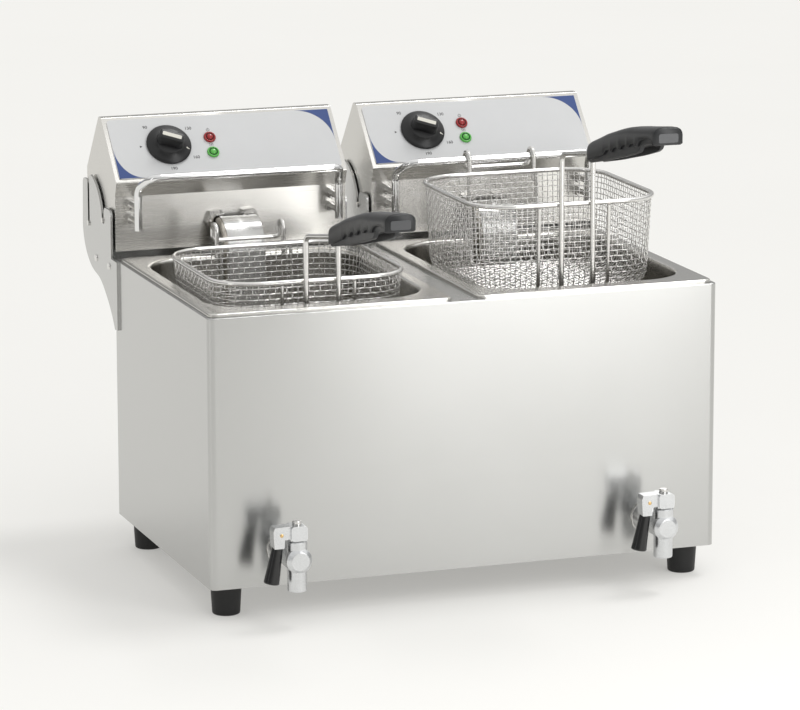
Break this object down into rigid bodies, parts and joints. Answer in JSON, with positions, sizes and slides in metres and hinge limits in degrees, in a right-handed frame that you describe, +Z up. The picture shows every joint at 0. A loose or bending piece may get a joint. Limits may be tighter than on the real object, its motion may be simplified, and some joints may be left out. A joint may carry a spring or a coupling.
{
  "type": "deep fryer",
  "caption": "Twin-tank counter-top electric deep fryer with tilting lift-off control heads, wire baskets and front drain taps.",
  "frame": {"origin": "centre of the footprint of the whole object, on the table under the feet", "axes": "+X to the cook's right, -Y towards the cook, +Z up"},
  "size_m": [0.568, 0.6745, 0.5174],
  "materials": {
    "brushed_sheet": "vertically brushed satin stainless sheet",
    "tank_steel": "satin drawn stainless, smoother than the cabinet",
    "basket_wire": "nickel-plated wire, slightly dull",
    "chrome_rod": "polished rod",
    "polished_steel": "bright turned and pressed steel",
    "element_steel": "satin sheathed tube, slightly warm from heat",
    "cast_tap": "satin plated casting with a fine grain",
    "grip_plastic": "fine-grained charcoal plastic",
    "knob_plastic": "satin black plastic",
    "black_plastic": "smooth black plastic",
    "inner_plastic": "heat-resistant moulding",
    "rubber": "matt black rubber",
    "fascia_print": "light satin silver-white with blue corners",
    "lens_red": "translucent red lens",
    "lens_green": "translucent green lens"
  },
  "bodies": {
    "root": {"bracket_plates_left": "brushed_sheet", "bracket_plates_right": "brushed_sheet", "bracket_rivets": "polished_steel", "bracket_trays": "brushed_sheet", "cabinet_back_panel": "brushed_sheet", "cabinet_base_pan": "brushed_sheet", "cabinet_shell": "brushed_sheet", "drain_elbows": "polished_steel", "rubber_feet": "rubber", "tank_left": "tank_steel", "tank_right": "tank_steel", "tap_body_left": "cast_tap", "tap_body_right": "cast_tap", "tap_washers": "polished_steel"},
    "pivot_left": {"pivot_pins_left": "polished_steel"},
    "head_left": {"head_housing_left": "brushed_sheet", "head_base_plate_left": "brushed_sheet", "head_fascia_left": "fascia_print", "lamp_power_left": "lens_red", "lamp_ready_left": "lens_green", "thermostat_left": "inner_plastic", "terminal_block_left": "inner_plastic", "cable_gland_left": "black_plastic", "front_pins_left": "polished_steel", "heating_element_left": "element_steel", "element_nuts_left": "polished_steel", "element_guard_left": "polished_steel", "basket_rail_left": "chrome_rod", "rail_bolts_left": "polished_steel"},
    "knob_left": {"control_knob_left": "knob_plastic"},
    "basket_left": {"basket_mesh_left": "basket_wire", "basket_frame_left": "basket_wire", "basket_wires_left": "basket_wire", "basket_grip_left": "grip_plastic"},
    "tap_handle_left": {"tap_ball_left": "polished_steel", "tap_lever_left": "cast_tap", "tap_grip_left": "black_plastic"},
    "pivot_right": {"pivot_pins_right": "polished_steel"},
    "head_right": {"head_housing_right": "brushed_sheet", "head_base_plate_right": "brushed_sheet", "head_fascia_right": "fascia_print", "lamp_power_right": "lens_red", "lamp_ready_right": "lens_green", "thermostat_right": "inner_plastic", "terminal_block_right": "inner_plastic", "cable_gland_right": "black_plastic", "front_pins_right": "polished_steel", "heating_element_right": "element_steel", "element_nuts_right": "polished_steel", "element_guard_right": "polished_steel", "basket_rail_right": "chrome_rod", "rail_bolts_right": "polished_steel"},
    "knob_right": {"control_knob_right": "knob_plastic"},
    "basket_right": {"basket_mesh_right": "basket_wire", "basket_frame_right": "basket_wire", "basket_wires_right": "basket_wire", "basket_grip_right": "grip_plastic"},
    "tap_handle_right": {"tap_ball_right": "polished_steel", "tap_lever_right": "cast_tap", "tap_grip_right": "black_plastic"}
  },
  "joints": [
    {"name": "head_lift_left", "type": "slide", "parent": "root", "child": "pivot_left", "axis": [0, 0, 1], "range_m": [0, 0.26]},
    {"name": "head_tilt_left", "type": "hinge", "parent": "pivot_left", "child": "head_left", "pos_m": [-0.14685, 0.3004, 0.3412], "axis": [-1, 0, 0], "range_deg": [0, 90]},
    {"name": "knob_turn_left", "type": "hinge", "parent": "head_left", "child": "knob_left", "pos_m": [-0.21035, 0.2306, 0.43398], "axis": [0, 0.7386, -0.6741], "range_deg": [-195, 75]},
    {"name": "basket_lift_left", "type": "slide", "parent": "head_left", "child": "basket_left", "axis": [0, -0.1219, 0.9925], "range_m": [0, 0.3]},
    {"name": "tap_turn_left", "type": "hinge", "parent": "root", "child": "tap_handle_left", "pos_m": [-0.202, -0.187, 0.071], "axis": [0, 0, 1], "range_deg": [0, 90]},
    {"name": "head_lift_right", "type": "slide", "parent": "root", "child": "pivot_right", "axis": [0, 0, 1], "range_m": [0, 0.26]},
    {"name": "head_tilt_right", "type": "hinge", "parent": "pivot_right", "child": "head_right", "pos_m": [0.14685, 0.3004, 0.3412], "axis": [-1, 0, 0], "range_deg": [0, 90]},
    {"name": "knob_turn_right", "type": "hinge", "parent": "head_right", "child": "knob_right", "pos_m": [0.08335, 0.2306, 0.43398], "axis": [0, 0.7386, -0.6741], "range_deg": [-195, 75]},
    {"name": "basket_lift_right", "type": "slide", "parent": "head_right", "child": "basket_right", "axis": [0, 0, 1], "range_m": [0, 0.15]},
    {"name": "tap_turn_right", "type": "hinge", "parent": "root", "child": "tap_handle_right", "pos_m": [0.202, -0.187, 0.071], "axis": [0, 0, 1], "range_deg": [0, 90]}
  ]
}
